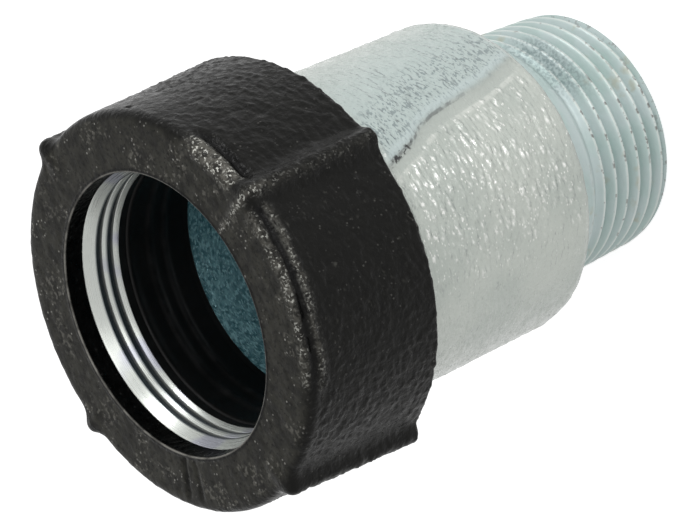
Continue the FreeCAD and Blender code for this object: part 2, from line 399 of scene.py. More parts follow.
def barrel_relief(points, height, angles):
    """Cast skin of the barrel with its raised seam, and the masks of its looks."""
    distance = TOTAL_HEIGHT - height
    around = degrees_round(angles)
    below, share = seam_offset(distance, around)
    above = window(below, ABOVE_SPAN) * share
    lip = window(below, LIP_SPAN) * share
    band = window(below, BAND_SPAN) * share
    wrinkles = window(below, WRINKLE_SPAN) * share * (1 - lip)
    glints = window(around, GLINT_SPAN) + 0.7 * smooth_step(*BACK_GLINTS, np.abs(around))
    glints = glints * (1 - np.maximum(above, band))

    rough = (0.45 + 0.55 * glints + 0.4 * wrinkles) * (1 - 0.85 * band) * (1 - 0.6 * lip)
    relief = seam_relief(below, share) + barrel_skin(points, height, angles, rough, band)
    slope = np.gradient(relief, axis=0) / np.gradient(height, axis=0)
    # Painted shade goes on ripples that face away from the lamps
    shade = smooth_step(*SHADED_SLOPE, slope) * (0.35 + 0.65 * wrinkles)
    masks = {
        "band": band,
        "lip": lip,
        "above": above,
        # Painted highlight on ripples facing the lamps, and where painted sparkles go
        "lit": smooth_step(*LIT_SLOPE, -slope) * glints,
        "shaded": shade * (1 - band) * (1 - lip),
        "sparkle": glints * (1 - band),
        "below": np.clip(below, -FAR_BELOW, FAR_BELOW),
        "near_nut": window(distance, NEAR_NUT_SPAN),
        "seam_line": share * (1 - smooth_step(*SEAM_LINE_END, distance)),
        "foot_line": share,
    }
    return relief, masks


def pipe_thread_relief(points, height, angles):
    """Taper thread cut into its crest envelope, fading out towards the shoulder, with chipped crests."""
    groove = sum(thread_groove(height + shift, angles) for shift in THREAD_BLUR) / len(THREAD_BLUR)
    fade = 1 - smooth_step(*PIPE_THREAD_FADE_Z, height)
    chips = smooth_step(*CHIP_LIMITS, lattice_noise(points, CHIP_SIZE, seed=11))
    relief = -(PIPE_THREAD_DEPTH * groove * fade + chips * (1 - groove) * CHIP_DEPTH)
    around = degrees_round(angles)
    crest = smooth_step(*CREST_FADE, fade)
    masks = {
        "crest_distance": thread_distance(height, angles),
        "crest": crest,
        "chipped": crest * window(around, CHIPPED_SPAN),
        "shade_patch": window(around, SHADE_PATCH_ROUND) * window(height, SHADE_PATCH_Z),
    }
    return relief, masks


def collar_thread_relief(height, angles):
    fade = smooth_step(COLLAR_THREAD_START_Z, COLLAR_THREAD_START_Z + COLLAR_THREAD_FADE, height)
    return -NUT_THREAD_DEPTH * thread_groove(height, angles) * fade


def inner_relief(points, height, angles):
    """Rough skin of the socket and the waterway."""
    cells = wrapped_cells(points, height, angles, *INNER_RIPPLES)
    waves = INNER_WAVE_HEIGHT * lattice_noise(points, INNER_WAVE_SIZE, seed=8)
    return INNER_RIPPLE_HEIGHT * pimples(cells, seed=7) + waves - INNER_SINK


def add_masks(masks, found, part, grid_shape):
    """Adds masks that were found for some of the rows, and leaves them at 0 on the others."""
    for name, values in found.items():
        masks.setdefault(name, np.zeros(grid_shape))[part] = values


def make_body():
    rows, outward, regions = turned_rows(body_corners())
    radius, height, turn = turned_grid(rows, BODY_COLUMNS)
    points = cylinder_points(radius, height, turn)
    relief = np.zeros_like(height)
    masks = {}

    thread = regions == "thread"
    relief[thread], found = pipe_thread_relief(points[thread], height[thread], turn[thread])
    add_masks(masks, found, thread, height.shape)

    barrel = (regions == "barrel") | (regions == "collar")
    relief[barrel], found = barrel_relief(points[barrel], height[barrel], turn[barrel])
    relief[barrel] *= 0.3 + 0.7 * smooth_step(0, SHOULDER_CALM, height[barrel] - SHOULDER_Z)
    add_masks(masks, found, barrel, height.shape)

    collar = regions == "collar_thread"
    relief[collar] = collar_thread_relief(height[collar], turn[collar])

    inner = (regions == "socket") | (regions == "waterway")
    relief[inner] = inner_relief(points[inner], height[inner], turn[inner])

    rim = regions == "rim"
    add_masks(masks, {"cut": 1}, thread | rim | collar | (regions == "land"), height.shape)
    add_masks(masks, {"inside": 1}, inner | (regions == "seat"), height.shape)
    add_masks(masks, {"rim": 1}, rim, height.shape)

    radius = radius + relief * outward[:, 0:1]
    height = np.maximum(height + relief * outward[:, 1:2], 0)
    return build_mesh("body_casting", cylinder_points(radius, height, turn), masks)


# Union nut

NUT_COLUMNS = 512
NUT_ARC_STEPS = 6
FACE_SINK = 0.2
FACE_Z = TOTAL_HEIGHT - FACE_SINK
FRONT_ROUND = 1.5
# Rows are finer above this height, and the outline runs a little inside the wall's line
NUT_FINE_Z = 68.6
NUT_REAR_INSET = 0.15
NUT_FINE_INSET = 0.05
# Where the painted highlight along the mouth's edge ends, and the radii between which the face's colour does
MOUTH_LINE = (0.05, 0.28)
FACE_END = (24.0, 24.8)

# Ribs, whose tips are sharper than in the solids. A reach gives the radii between which they rise.
RIB_COUNT = 4
RIB_FIRST_ANGLE = math.radians(-70)
RIB_HEIGHT = 1.55
RIB_TIP_RADIUS = 1.2
RIB_ROOT_RADIUS = 2.5
RIB_SHARE = 0.98
RIB_REACH = (21.0, 24.6)
RIDGE_HEIGHT = 0.2
RIDGE_HALF_WIDTH = 0.9
RIDGE_REACH = (20.8, 23.3)

# Cast skin: ripples as on the barrel, the size of those on the face, and the depth by region
NUT_RIPPLES = (160, 0.75)
FACE_RIPPLE = 1.3
SKIN_DEPTHS = {"side": 0.16, "front": 0.055, "rear": 0.06, "bore": 0.02}
SKIN_MIDDLE = 0.5
# Painted highlight on ripples of the side that face the lamps: degrees round and slopes
NUT_LIT_SPAN = (-18, -12, 14, 34)
NUT_LIT_SLOPE = (0.14, 0.45)

# Worn ledges on either side of the rib in front, in degrees round
UPPER_LEDGE = (-46, -39, -25.5, -23.5)
LOWER_LEDGE = (-16.5, -14.5, 22, 42)
# Distances where each ledge ends, and the middle and half width of each notch and of the raised edge
UPPER_LEDGE_END = (1.7, 2.4)
LOWER_LEDGE_END = (0.5, 0.9)
UPPER_NOTCH = (2.9, 0.6)
LOWER_NOTCH = (1.3, 0.55)
RAISED_EDGE = (2.3, 0.5)
RIM_REACH = (23.2, 24.4)
NOTCH_DEPTH = 0.6
EDGE_HEIGHT = 0.12
WEAR_BEND = 0.3
WEAR_BEND_SIZE = 2.6

# Painted highlight along the crest of the rib in front: degrees round, heights where it grows, middle and
# half width across
CREST_HIGHLIGHT_SPAN = (-40, -28, -12, 0)
CREST_HIGHLIGHT_Z = (68.0, 71.5)
CREST_HIGHLIGHT_LINE = (-0.3, 0.5)

# Two short folds across the face: degrees round and depth
FACE_FOLDS = ((115.8, 0.3), (109.5, 0.18))
FOLD_HALF_WIDTH = 0.3
FOLD_END = (22.5, 24.5)

# A small pit in the side, and a smooth stretch about it
PIT_DISTANCE = 2.1
PIT_DEGREES = -70
PIT_HALF_SIZES = (0.3, 0.42)
PIT_DEPTH = 0.3
CALM_SPAN = (-115, -95, -64, -44)
CALM_END = (4, 10)


def nut_corners():
    """Profile of the nut, from the inner edge of its rear face."""
    thread_radius = COLLAR_RADIUS + NUT_THREAD_CLEARANCE
    slope = (NUT_REAR_RADIUS - NUT_FRONT_RADIUS) / NUT_LENGTH
    fine_radius = NUT_FRONT_RADIUS + slope * (TOTAL_HEIGHT - NUT_FINE_Z)
    return [
        (thread_radius, NUT_BOTTOM_Z, 0, 0.5, "rear"),
        (NUT_REAR_RADIUS - NUT_REAR_INSET, NUT_BOTTOM_Z, 0.6, 0.3, "side"),
        (fine_radius - NUT_FINE_INSET, NUT_FINE_Z, 0, 0.24, "side"),
        (NUT_FRONT_RADIUS, FACE_Z, FRONT_ROUND, 0.33, "front"),
        (MOUTH_RADIUS, FACE_Z, 0.3, 0.4, "bore"),
        (MOUTH_RADIUS, NUT_SHOULDER_Z, 0, 0.5, "bore"),
        (CONE_TOP_RADIUS, NUT_SHOULDER_Z, 0, 0.6, "cone"),
        (CONE_BOTTOM_RADIUS, CONE_BOTTOM_Z, 0, 0.4, "cone"),
        (thread_radius, CONE_BOTTOM_Z, 0, 0.5, "thread"),
    ]


def rib_rise(across):
    """Height of a rib above the plain wall, at an arc length from its crest."""
    across = np.abs(across)
    tip_centre = RIB_HEIGHT - RIB_TIP_RADIUS
    reach = RIB_TIP_RADIUS + RIB_ROOT_RADIUS
    root_place = math.sqrt(reach ** 2 - (RIB_ROOT_RADIUS - tip_centre) ** 2)
    join = root_place * RIB_TIP_RADIUS / reach
    tip = tip_centre + np.sqrt(np.maximum(RIB_TIP_RADIUS ** 2 - across ** 2, 0))
    from_root = np.minimum(across - root_place, 0)
    root = RIB_ROOT_RADIUS - np.sqrt(np.maximum(RIB_ROOT_RADIUS ** 2 - from_root ** 2, 0))
    return np.where(across < join, tip, root)


def rib_offsets(angles):
    """Arc length from the nearest rib's crest."""
    nearest = np.full(angles.shape, np.inf)
    for index in range(RIB_COUNT):
        crest = RIB_FIRST_ANGLE + index * FULL_TURN / RIB_COUNT
        offset = turn_difference(angles, crest) * NUT_FRONT_RADIUS
        nearest = np.where(np.abs(offset) < np.abs(nearest), offset, nearest)
    return nearest


def front_wear(distance, around):
    """Notch behind the front edge, worn ledge on it and raised edge beyond, by the rib in front."""
    upper = window(around, UPPER_LEDGE)
    lower = window(around, LOWER_LEDGE)
    notch = upper * hump(distance, *UPPER_NOTCH) + lower * hump(distance, *LOWER_NOTCH)
    ledge = upper * (1 - smooth_step(*UPPER_LEDGE_END, distance))
    ledge += 0.7 * lower * (1 - smooth_step(*LOWER_LEDGE_END, distance))
    edge = lower * hump(distance, *RAISED_EDGE)
    return notch, ledge, edge


def face_folds(around, radius):
    folds = np.zeros_like(radius)
    for degrees, depth in FACE_FOLDS:
        across_fold = np.radians(around - degrees) * radius
        folds += depth * hump(across_fold, 0, FOLD_HALF_WIDTH) * (1 - smooth_step(*FOLD_END, radius))
    return folds


def side_pit(distance, around, radius):
    """Pit behind the front edge, 1 at its middle. The mouth's wall behind it has the same dent."""
    half_height, half_width = PIT_HALF_SIZES
    across_pit = np.radians(around - PIT_DEGREES) * radius
    return hump(distance, PIT_DISTANCE, half_height) * hump(across_pit, 0, half_width)


def nut_wear(points, distance, around, radius, region):
    """Ledges, notches, folds and the pit: their relief, and the masks of their looks."""
    on_front = region == "front"
    near_rim = ((region == "side") | on_front) * smooth_step(*RIM_REACH, radius)
    bent_distance = distance + WEAR_BEND * lattice_noise(points, WEAR_BEND_SIZE, seed=41)
    notch, ledge, edge = front_wear(bent_distance, around)
    folds = np.where(on_front, face_folds(around, radius), 0)
    pit = side_pit(distance, around, radius)
    relief = near_rim * (EDGE_HEIGHT * edge - NOTCH_DEPTH * notch) - folds - PIT_DEPTH * pit
    masks = {
        "wear_and_highlight": near_rim * np.clip(ledge + 0.5 * edge, 0, 1),
        # The notch mask carries painted shade into the notches, folds and pit
        "notch": np.clip(1.5 * near_rim * notch + 2.5 * folds + pit, 0, 1),
    }
    return relief, masks


def nut_skin(points, height, angles, on_face):
    """Rough cast skin, drawn out round the nut but not on its face, from about -1 to 1."""
    coarse = 0.35 * lattice_noise(points, 6.5, seed=21)
    side = pimples(wrapped_cells(points, height, angles, *NUT_RIPPLES), seed=22)
    face = pimples(points[..., :2] / FACE_RIPPLE, seed=25)
    ripples = 1.2 * np.where(on_face, face, side) - 0.4
    fine = 0.3 * lattice_noise(points, (1.3, 1.3, 0.7), seed=23)
    pits = -0.7 * smooth_step(0.5, 0.9, lattice_noise(points, 1.4, seed=24))
    return coarse + ripples + fine + pits


def skin_depth(region, distance, around):
    """Depth of the cast skin by region, less on the smooth stretch near the front edge."""
    depth = sum(np.where(region == name, value, 0) for name, value in SKIN_DEPTHS.items())
    calm = window(around, CALM_SPAN) * (1 - smooth_step(*CALM_END, distance))
    return depth * (1 - 0.7 * calm)


def crest_highlight(across, height, around):
    """Painted highlight along the crest of the rib in front, strongest near the face."""
    line = hump(across, *CREST_HIGHLIGHT_LINE) * (0.22 + 0.78 * smooth_step(*CREST_HIGHLIGHT_Z, height))
    return 0.7 * line * window(around, CREST_HIGHLIGHT_SPAN)


def make_nut():
    rows, outward, regions = turned_rows(nut_corners(), NUT_ARC_STEPS)
    radius, height, turn = turned_grid(rows, NUT_COLUMNS)
    around = degrees_round(turn)
    distance = TOTAL_HEIGHT - height
    points = cylinder_points(radius, height, turn)
    region = regions[:, None]
    on_front = region == "front"
    on_side = region == "side"

    # Ribs push the side out, and the front and rear faces with it near their rims
    across = rib_offsets(turn)
    outer = on_side | on_front | (region == "rear")
    radius = radius + outer * smooth_step(*RIB_REACH, radius) * rib_rise(across) * RIB_SHARE

    # A low ridge carries each rib onto the front face
    ridge = hump(across, 0, RIDGE_HALF_WIDTH) * smooth_step(*RIDGE_REACH, radius)
    lift = on_front * RIDGE_HEIGHT * ridge

    wear, masks = nut_wear(points, distance, around, radius, region)
    skin = nut_skin(points, height, turn, on_front) - SKIN_MIDDLE
    relief = skin * skin_depth(region, distance, around) + wear
    slope = np.gradient(relief, axis=0) / np.where(on_side, np.gradient(height, axis=0), 1)
    # Painted highlight on ripples of the side that face up
    masks["lit"] = on_side * smooth_step(*NUT_LIT_SLOPE, -slope) * window(around, NUT_LIT_SPAN)

    thread_fade = smooth_step(*NUT_THREAD_FADE_Z, height)
    thread_cut = NUT_THREAD_DEPTH * (1 - thread_groove(height, turn)) * thread_fade
    relief = np.where(region == "thread", thread_cut, relief)

    # Nothing passes the box of the solids
    radius = np.minimum(radius + relief * outward[:, 0:1], NUT_REAR_RADIUS + RIB_HEIGHT)
    height = np.clip(height + relief * outward[:, 1:2] + lift, NUT_BOTTOM_Z, TOTAL_HEIGHT)
    points = cylinder_points(radius, height, turn)
    points[..., :2] = np.clip(points[..., :2], -NUT_REAR_RADIUS, NUT_REAR_RADIUS)

    # Painted highlight along the mouth's edge
    from_mouth = np.hypot(rows[:, 0:1] - MOUTH_RADIUS, rows[:, 1:2] - FACE_Z)
    masks["mouth_edge"] = 1 - smooth_step(*MOUTH_LINE, from_mouth)
    # Painted highlight along the crest of the rib in front, in the same mask as the wear
    masks["wear_and_highlight"] += crest_highlight(across, height, around)
    masks["face"] = on_front * (1 - smooth_step(*FACE_END, radius))
    masks["bore"] = (region == "bore") | (region == "cone")
    return build_mesh("union_nut_casting", points, masks)


# Sealing ring, a few hundredths clear of its seat

SEAL_COLUMNS = 192
SEAL_BOTTOM_Z = 53.62
SEAL_TOP_Z = 63.85
SEAL_BOTTOM_RADIUS = 19.2
SEAL_RADIUS = 20.08
SEAL_INNER_RADIUS = 16.95
SEAL_WAIST = 0.2
# Two faint ridges below the upper lip: distance below the mouth and half width
SEAL_RIDGES = ((13.2, 0.8), (15.6, 0.6))
SEAL_RIDGE_EDGE = (0.2, 1.0)
SEAL_LIP_END = (9.8, 11.0)


def seal_corners():
    """Profile of the sealing ring, from the outer edge of its floor."""
    return [
        (SEAL_BOTTOM_RADIUS, SEAL_BOTTOM_Z, 0.1, 0.8, "outside"),
        (SEAL_RADIUS, BODY_TOP_Z, 0.1, 0.6, "outside"),
        (SEAL_RADIUS, SEAL_TOP_Z, 0.1, 0.5, "top"),
        (SEAL_INNER_RADIUS, SEAL_TOP_Z, 0.5, 0.3, "inside"),
        (SEAL_INNER_RADIUS, SEAL_BOTTOM_Z, 0.4, 0.5, "bottom"),
    ]


def make_seal():
    rows, outward, regions = turned_rows(seal_corners())
    radius, height, turn = turned_grid(rows, SEAL_COLUMNS)
    distance = TOTAL_HEIGHT - height
    ridges = np.zeros_like(distance)
    for middle, half_width in SEAL_RIDGES:
        away = np.abs(distance - middle) / half_width
        ridges = np.maximum(ridges, 1 - smooth_step(*SEAL_RIDGE_EDGE, away))
    lip = 1 - smooth_step(*SEAL_LIP_END, distance)
    inside = (regions == "inside")[:, None]
    relief = -SEAL_WAIST * inside * (1 - np.maximum(ridges, lip))
    radius = radius + relief * outward[:, 0:1]
    points = cylinder_points(radius, height, turn)
    # The ridge mask carries a painted sheen
    return build_mesh("sealing_ring_rubber", points, {"ridge": inside * ridges})


# Clamping ring. A drop counts down from its top, and a groove's from the tip of its tooth.

CLAMP_COLUMNS = 300
CLAMP_TOP_Z = 70.15
CLAMP_BOTTOM_Z = 65.05
CLAMP_TOP_RADIUS = 19.56
CLAMP_BOTTOM_RADIUS = 20.96
CLAMP_LIP_RADIUS = 17.9
CLAMP_TOOTH_RADIUS = 16.96
CLAMP_LAND_RADIUS = 17.35
CLAMP_GROOVE_RADIUS = 17.75
CLAMP_TOOTH_DROPS = (1.55, 3.3)
CLAMP_GROOVE_DROPS = (0.25, 1.0)
CLAMP_LAND_DROP = 1.15
CLAMP_SPLIT_WIDTH = 2.5
CLAMP_SPLIT_ANGLE = math.radians(-120)
CLAMP_MEAN_RADIUS = 19.0


def clamp_corners():
    """Profile of the clamping ring, from its outer lower edge, with slightly broken edges."""
    corners = [
        (CLAMP_BOTTOM_RADIUS, CLAMP_BOTTOM_Z, 0.1, 0.6, "outside"),
        (CLAMP_TOP_RADIUS, CLAMP_TOP_Z, 0.15, 0.5, "top"),
        (CLAMP_LIP_RADIUS, CLAMP_TOP_Z, 0.1, 0.25, "inside"),
    ]
    for drop in CLAMP_TOOTH_DROPS:
        tip_z = CLAMP_TOP_Z - drop
        corners.append((CLAMP_TOOTH_RADIUS, tip_z, 0.06, 0.3, "groove"))
        for groove_drop in CLAMP_GROOVE_DROPS:
            corners.append((CLAMP_GROOVE_RADIUS, tip_z - groove_drop, 0, 0.3, "groove"))
        corners.append((CLAMP_LAND_RADIUS, tip_z - CLAMP_LAND_DROP, 0.06, 0.3, "inside"))
    corners.append((CLAMP_TOOTH_RADIUS, CLAMP_BOTTOM_Z, 0.1, 0.6, "bottom"))
    return corners


def make_clamping_ring():
    """Ring turned about the axis from one side of its split to the other."""
    rows, _, regions = turned_rows(clamp_corners())
    half_gap = CLAMP_SPLIT_WIDTH / 2 / CLAMP_MEAN_RADIUS
    first_angle = CLAMP_SPLIT_ANGLE + half_gap
    last_angle = CLAMP_SPLIT_ANGLE + FULL_TURN - half_gap
    angles = np.linspace(first_angle, last_angle, CLAMP_COLUMNS)
    points = cylinder_points(rows[:, 0:1], rows[:, 1:2], angles)
    # The groove mask carries painted shade into the grooves
    groove = (regions == "groove")[:, None]
    return build_mesh("clamping_ring_steel", points, {"groove": groove}, closed=False)


# Node helpers

def add_node(tree, kind, inputs=None, **settings):
    """Node whose inputs, by name or index, take a value or another node's output."""
    node = tree.nodes.new(kind)
    for key, value in settings.items():
        setattr(node, key, value)
    for key, value in (inputs or {}).items():
        if isinstance(value, bpy.types.NodeSocket):
            tree.links.new(value, node.inputs[key])
        else:
            node.inputs[key].default_value = value
    return node


def mix_colours(tree, factor, first, second):
    colours = [value if isinstance(value, bpy.types.NodeSocket) else (*value, 1) for value in (first, second)]
    node = add_node(tree, "ShaderNodeMix", {0: factor, 6: colours[0], 7: colours[1]}, data_type="RGBA")
    return node.outputs[2]


def calculate(tree, operation, first, second=0.0):
    node = add_node(tree, "ShaderNodeMath", {0: first, 1: second}, operation=operation)
    return node.outputs[0]


def product(tree, *factors):
    total = factors[0]
    for factor in factors[1:]:
        total = calculate(tree, "MULTIPLY", total, factor)
    return total


def ramp(tree, value, low, high, to_low=0.0, to_high=1.0):
    inputs = {"Value": value, "From Min": low, "From Max": high, "To Min": to_low, "To Max": to_high}
    node = add_node(tree, "ShaderNodeMapRange", inputs, interpolation_type="SMOOTHSTEP")
    return node.outputs["Result"]


def mask(tree, name):
    return add_node(tree, "ShaderNodeAttribute", attribute_name=name).outputs["Fac"]


def millimetres(tree, flatten=1.0):
    """Object coordinates in millimetres, with what lies along the axis made flatter."""
    coordinates = add_node(tree, "ShaderNodeTexCoord").outputs["Object"]
    factors = (1 / MM, 1 / MM, flatten / MM)
    node = add_node(tree, "ShaderNodeVectorMath", {0: coordinates, 1: factors}, operation="MULTIPLY")
    return node.outputs[0]


def noise(tree, coordinates, size, detail=3.0):
    """Noise from 0 to 1 with lumps of about size millimetres."""
    inputs = {"Vector": coordinates, "Scale": 1.0 / size, "Detail": detail}
    return add_node(tree, "ShaderNodeTexNoise", inputs).outputs["Fac"]


def patches(tree, coordinates, size, limits, detail=3.0, least=0.0, most=1.0):
    """Patches of about size millimetres, from least to most as the noise crosses the limits."""
    return ramp(tree, noise(tree, coordinates, size, detail), *limits, least, most)


def specks(tree, coordinates, size, radius):
    """One in each cell of about size millimetres, 1 within the radius and 0 outside."""
    inputs = {"Vector": coordinates, "Scale": 1.0 / size}
    distance = add_node(tree, "ShaderNodeTexVoronoi", inputs).outputs["Distance"]
    return ramp(tree, distance, radius, radius * 0.4)


def tint(tree, colour, strength, name, target, *shares):
    """Colour moved towards the target by the strength, where the named mask is."""
    return mix_colours(tree, product(tree, mask(tree, name), strength, *shares), colour, target)


def near(tree, name, middle, half_width):
    """1 where the named mask is near the middle, and 0 from the half width on."""
    away = calculate(tree, "ABSOLUTE", calculate(tree, "SUBTRACT", mask(tree, name), middle))
    return ramp(tree, away, half_width, half_width * 0.4)


def new_material(name, **values):
    material = bpy.data.materials.new(name)
    material.use_nodes = True
    shader = material.node_tree.nodes["Principled BSDF"]
    for key, value in values.items():
        shader.inputs[key.replace("_", " ")].default_value = value
    return material, material.node_tree, shader


def set_bump(tree, shader, height, distance_mm):
    bump = add_node(tree, "ShaderNodeBump", {"Height": height, "Distance": distance_mm * MM, "Strength": 1.0})
    tree.links.new(bump.outputs["Normal"], shader.inputs["Normal"])


# Zinc on the body. Colours are in linear light, and a pair is the darker and the paler patches.

CAST_ZINC = ((0.465, 0.505, 0.465), (0.525, 0.56, 0.515))
ZINC_ABOVE_SEAM = (0.455, 0.535, 0.52)
# Painted highlight on the lip above the seam
ZINC_LIP_HIGHLIGHT = (0.52, 0.60, 0.60)
# Painted shade in the band below the seam
ZINC_BAND_SHADE = (0.41, 0.445, 0.415)
ZINC_FOOT = (0.80, 0.81, 0.76)
# Painted shade on ripples that face away from the lamps
ZINC_RIPPLE_SHADE = (0.10, 0.125, 0.13)
# Painted shade in dashes on the ripples above the seam
ZINC_DASH_SHADE = (0.15, 0.19, 0.20)
# Painted highlight on ripples that face the lamps
ZINC_LIT = (1.0, 1.0, 0.97)
# Painted sparkles on the cast skin
ZINC_SPARKLE = (1.0, 1.0, 0.96)
# Painted shade along the step of the seam
SEAM_STEP_SHADE = (0.10, 0.11, 0.11)
SEAM_CRACK = (0.012, 0.012, 0.012)

CUT_ZINC = ((0.46, 0.57, 0.55), (0.51, 0.595, 0.59))
CUT_ZINC_WARM = (0.46, 0.49, 0.42)
# Painted highlight on the thread's crests
CREST_HIGHLIGHT = (0.76, 0.80, 0.76)
CREST_CHIP = (0.10, 0.09, 0.08)
CREST_SPECK = (0.12, 0.11, 0.10)
# Painted shade on a patch of the thread
THREAD_PATCH_SHADE = (0.22, 0.29, 0.295)
RIM_FLECK = (0.16, 0.15, 0.14)

SOCKET_TEAL = ((0.10, 0.245, 0.285), (0.24, 0.47, 0.52))
# Painted highlights on the socket's skin
SOCKET_HIGHLIGHT = (0.42, 0.74, 0.80)


def skin_colour(tree, place, colour):
    """Painted shade and highlights on the ripples, painted shade in dashes above the seam, and painted
    sparkles.
    """
    # Painted shade on ripples that face away from the lamps, broken into patches
    shade_breakup = patches(tree, place, 0.45, (0.42, 0.54), detail=2.0)
    thinned = patches(tree, place, 2.2, (0.4, 0.55), least=0.25)
    colour = tint(tree, colour, 0.95, "shaded", ZINC_RIPPLE_SHADE, shade_breakup, thinned)
    # Painted shade in dashes on the ripples above the seam
    dash_shade = patches(tree, millimetres(tree, 2.2), 0.7, (0.53, 0.6), detail=2.0)
    beside_seam = near(tree, "below", -4.0, 4.5)
    colour = tint(tree, colour, 0.65, "above", ZINC_DASH_SHADE, dash_shade, beside_seam)
    # Painted highlight on ripples that face the lamps
    glint_breakup = patches(tree, millimetres(tree, 1.5), 0.5, (0.42, 0.52), detail=2.0, least=0.1)
    colour = tint(tree, colour, 1.0, "lit", ZINC_LIT, glint_breakup)
    # Painted sparkles scattered over the glinting skin
    chance = patches(tree, place, 1.6, (0.47, 0.56))
    sparkle = specks(tree, millimetres(tree, 1.7), 0.72, 0.29)
    return tint(tree, colour, 0.85, "sparkle", ZINC_SPARKLE, sparkle, chance)


def seam_colour(tree, place, colour):
    """Painted shade along the step of the upper seam and a dark crack where it meets the nut."""
    # Painted shade along the step of the seam
    broken = patches(tree, place, 1.2, (0.38, 0.56))
    line = near(tree, "below", 0.05, 0.3)
    colour = tint(tree, colour, 0.65, "seam_line", SEAM_STEP_SHADE, line, broken)
    grit = patches(tree, place, 0.7, (0.5, 0.56))
    crack = near(tree, "below", 0.1, 0.6)
    return tint(tree, colour, 0.95, "near_nut", SEAM_CRACK, crack, grit)


def cast_zinc_colour(tree, place):
    """Pale zinc on the cast skin, with the seam's lip (painted highlight), band (painted shade) and foot."""
    colour = mix_colours(tree, patches(tree, place, 8.0, (0.35, 0.65)), *CAST_ZINC)
    colour = tint(tree, colour, 0.85, "above", ZINC_ABOVE_SEAM)
    colour = tint(tree, colour, 0.6, "lip", ZINC_LIP_HIGHLIGHT)
    colour = tint(tree, colour, 0.6, "band", ZINC_BAND_SHADE)
    patchy = patches(tree, place, 1.8, (0.4, 0.6))
    foot = near(tree, "below", BAND_WIDTH + 0.3, 0.5)
    colour = tint(tree, colour, 0.35, "foot_line", ZINC_FOOT, foot, patchy)
    return seam_colour(tree, place, skin_colour(tree, place, colour))


def cut_zinc_colour(tree, place):
    """Bluish zinc on the turned end and thread, with painted highlights on the crests, chipped in places, and
    a patch of painted shade.
    """
    colour = mix_colours(tree, patches(tree, place, 4.5, (0.38, 0.62)), *CUT_ZINC)
    colour = mix_colours(tree, patches(tree, place, 2.8, (0.6, 0.75)), colour, CUT_ZINC_WARM)
    # Painted highlight on the thread's crests
    crest = near(tree, "crest_distance", 0.0, 0.24)
    colour = tint(tree, colour, 0.55, "crest", CREST_HIGHLIGHT, crest)
    chip = patches(tree, place, 0.8, (0.53, 0.62), detail=2.0)
    colour = tint(tree, colour, 0.75, "chipped", CREST_CHIP, chip, crest)
    speck = patches(tree, place, 1.0, (0.62, 0.66))
    colour = tint(tree, colour, 0.6, "crest", CREST_SPECK, speck, crest)
    # Painted shade on a patch of the thread
    grain = patches(tree, place, 0.4, (0.4, 0.62), least=0.15, most=0.9)
    colour = tint(tree, colour, 0.9, "shade_patch", THREAD_PATCH_SHADE, grain)
    fleck = patches(tree, place, 0.8, (0.55, 0.65))
    return tint(tree, colour, 0.6, "rim", RIM_FLECK, fleck)


def socket_colour(tree, place):
    """Dark teal of the shaded socket, with strokes of painted highlight drawn out round it."""
    teal = mix_colours(tree, patches(tree, place, 0.8, (0.36, 0.64), detail=2.0), *SOCKET_TEAL)
    # Painted highlights in strokes round the socket
    highlight_stroke = patches(tree, millimetres(tree, 1.8), 0.55, (0.54, 0.62), detail=1.0)
    return mix_colours(tree, product(tree, highlight_stroke, 0.75), teal, SOCKET_HIGHLIGHT)


def galvanised_material():
    """Zinc over rough iron, smoother on the threaded end and rougher inside."""
    material, tree, shader = new_material("galvanised_zinc", Metallic=0.2)
    place = millimetres(tree)
    cut = mask(tree, "cut")
    inside = mask(tree, "inside")
    outer = mix_colours(tree, cut, cast_zinc_colour(tree, place), cut_zinc_colour(tree, place))
    colour = mix_colours(tree, inside, outer, socket_colour(tree, place))
    tree.links.new(colour, shader.inputs["Base Color"])
    gloss = patches(tree, place, 1.2, (0.3, 0.7), least=0.16, most=0.26)
    gloss = calculate(tree, "ADD", gloss, product(tree, cut, 0.2))
    tree.links.new(gloss, shader.inputs["Roughness"])
    fine = noise(tree, millimetres(tree, 1.6), 0.7, 2.0)
    rough = ramp(tree, cut, 0.0, 1.0, 0.5, 0.12)
    rough = calculate(tree, "ADD", rough, product(tree, inside, 0.5))
    set_bump(tree, shader, product(tree, fine, rough), 0.36)
    return material


# Black coating of the nut

BLACK_SIDE = ((0.0022, 0.0023, 0.002), (0.0085, 0.0083, 0.0072))
BLACK_FACE = ((0.011, 0.0107, 0.0086), (0.0265, 0.0258, 0.0206))
FACE_PIT = (0.002, 0.002, 0.0016)
FACE_GRIT = (0.14, 0.135, 0.118)
BARE_SPECK = (0.26, 0.255, 0.235)
# Painted highlight on ripples of the side
LIT_BLACK = (0.085, 0.084, 0.075)
WORN_GREY = (0.105, 0.101, 0.088)
# Painted glints on the grains of the worn ledges
WORN_GLINT = (0.60, 0.60, 0.55)
# Painted shade in the notches, folds and pit
NOTCH_SHADE = (0.002, 0.002, 0.002)
# Painted shade in the bore
BORE_SHADE = (0.0008, 0.0008, 0.0008)
# Painted highlight along the mouth's edge
MOUTH_EDGE_HIGHLIGHT = (0.33, 0.32, 0.29)


def plain_black_colour(tree, place):
    """Black side and lighter face, which has dark pits and clusters of grit."""
    mottle = noise(tree, place, 1.6)
    side = mix_colours(tree, mottle, *BLACK_SIDE)
    face = mix_colours(tree, ramp(tree, mottle, 0.36, 0.64), *BLACK_FACE)
    colour = mix_colours(tree, mask(tree, "face"), side, face)
    pit = patches(tree, place, 0.5, (0.47, 0.36), detail=2.0)
    colour = tint(tree, colour, 0.6, "face", FACE_PIT, pit)
    cluster = patches(tree, place, 4.0, (0.5, 0.62), detail=2.0)
    grit = patches(tree, place, 0.55, (0.52, 0.64))
    return tint(tree, colour, 0.55, "face", FACE_GRIT, cluster, grit)


